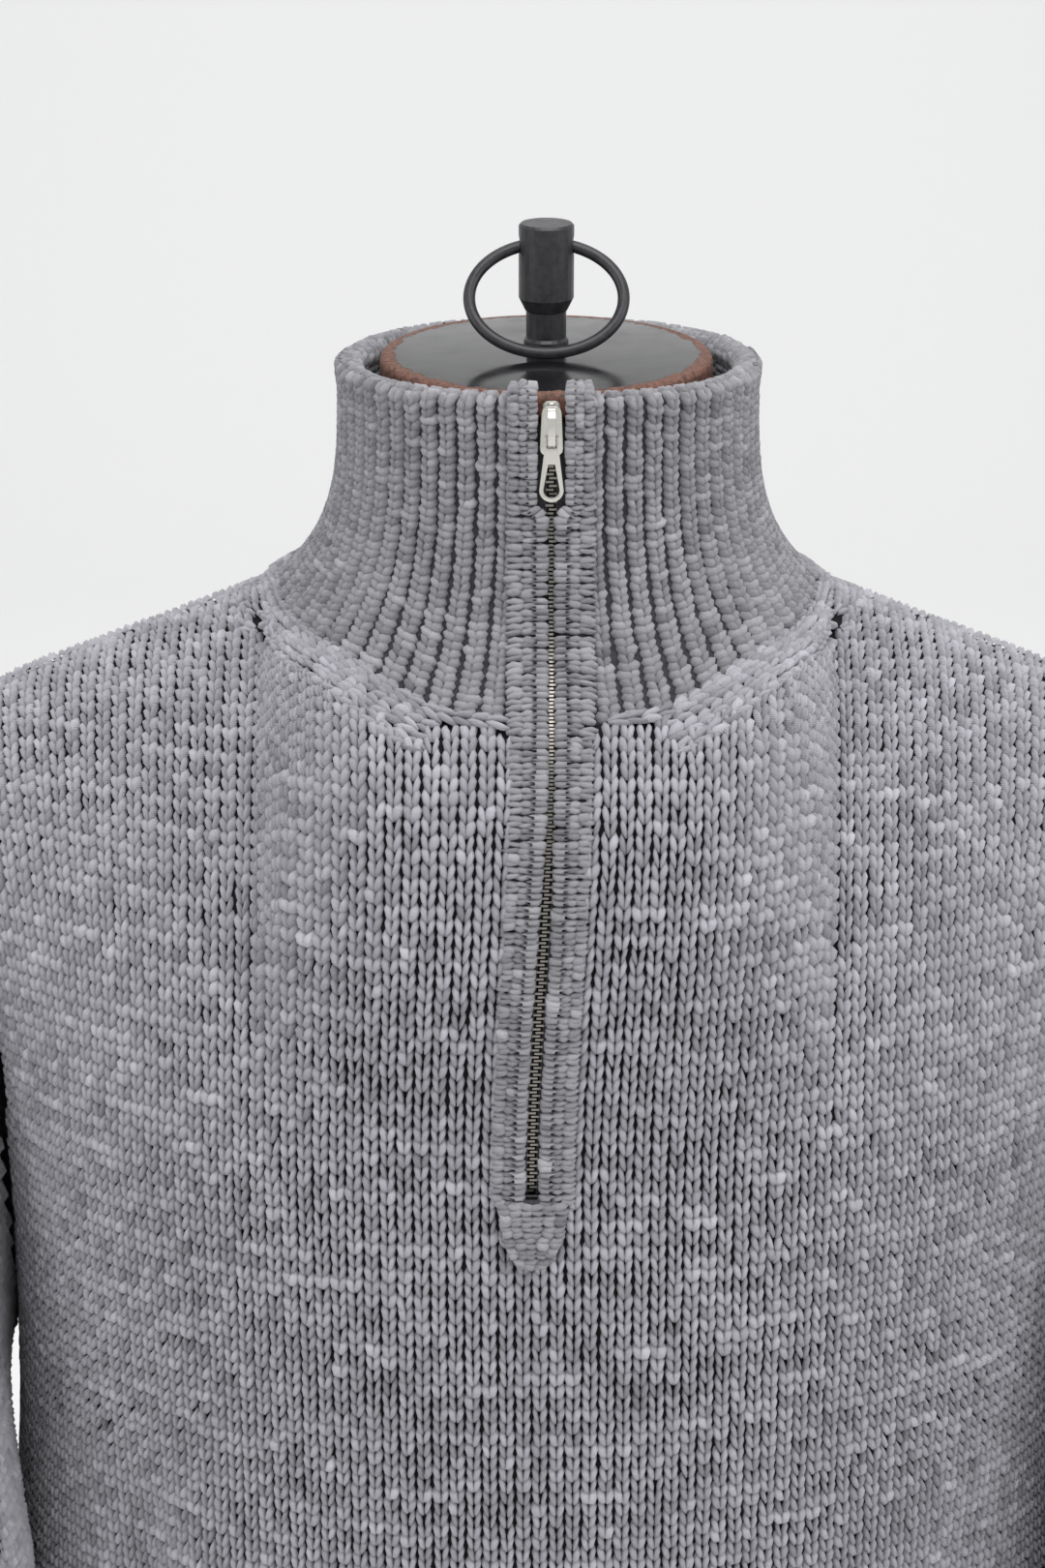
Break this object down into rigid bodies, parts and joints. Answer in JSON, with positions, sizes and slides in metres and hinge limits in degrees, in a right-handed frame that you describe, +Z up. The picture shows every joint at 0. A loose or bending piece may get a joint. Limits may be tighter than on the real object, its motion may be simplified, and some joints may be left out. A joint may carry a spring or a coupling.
{
  "type": "quarter zip sweater on dress form",
  "caption": "Chunky slub knit sweater with a ribbed stand collar and a short front zip, worn by a limbless tabletop dress form with a ringed neck cap.",
  "frame": {"origin": "centre of the form's flat underside, which the part stands on", "axes": "+Z up, -Y the way the sweater's front faces, +X the wearer's left"},
  "size_m": [0.5718, 0.2721, 0.849],
  "materials": {
    "knit": "matte slub knit",
    "rib_knit": "matte rib knit",
    "band_knit": "matte garter knit",
    "zip_tape": "matte woven",
    "nickel": "bright plated",
    "form_cloth": "matte",
    "black_paint": "gloss",
    "black_steel": "satin"
  },
  "bodies": {
    "root": {"form_torso": "form_cloth", "neck_cap": "black_paint", "post_stem": "black_steel", "post_sleeve": "black_steel", "front_panel": "knit", "back_panel": "knit", "hem_rib_front": "rib_knit", "hem_rib_back": "rib_knit", "sleeve_left": "knit", "sleeve_right": "knit", "cuff_rib_left": "rib_knit", "cuff_rib_right": "rib_knit", "collar": "rib_knit", "zip_band_left": "band_knit", "zip_band_right": "band_knit", "zip_tape_left": "zip_tape", "zip_tape_right": "zip_tape", "placket_end": "band_knit", "zip_slider": "nickel"},
    "ring": {"ring": "black_steel"},
    "pull": {"zip_pull": "nickel"}
  },
  "joints": [
    {"name": "ring_swing", "type": "hinge", "parent": "root", "child": "ring", "pos_m": [0, 0.008, 0.8415], "axis": [-1, 0, 0], "range_deg": [0, 290]},
    {"name": "pull_swing", "type": "hinge", "parent": "root", "child": "pull", "pos_m": [0.0012, -0.07298, 0.79706], "axis": [-1, 0, 0], "range_deg": [0, 110]}
  ]
}
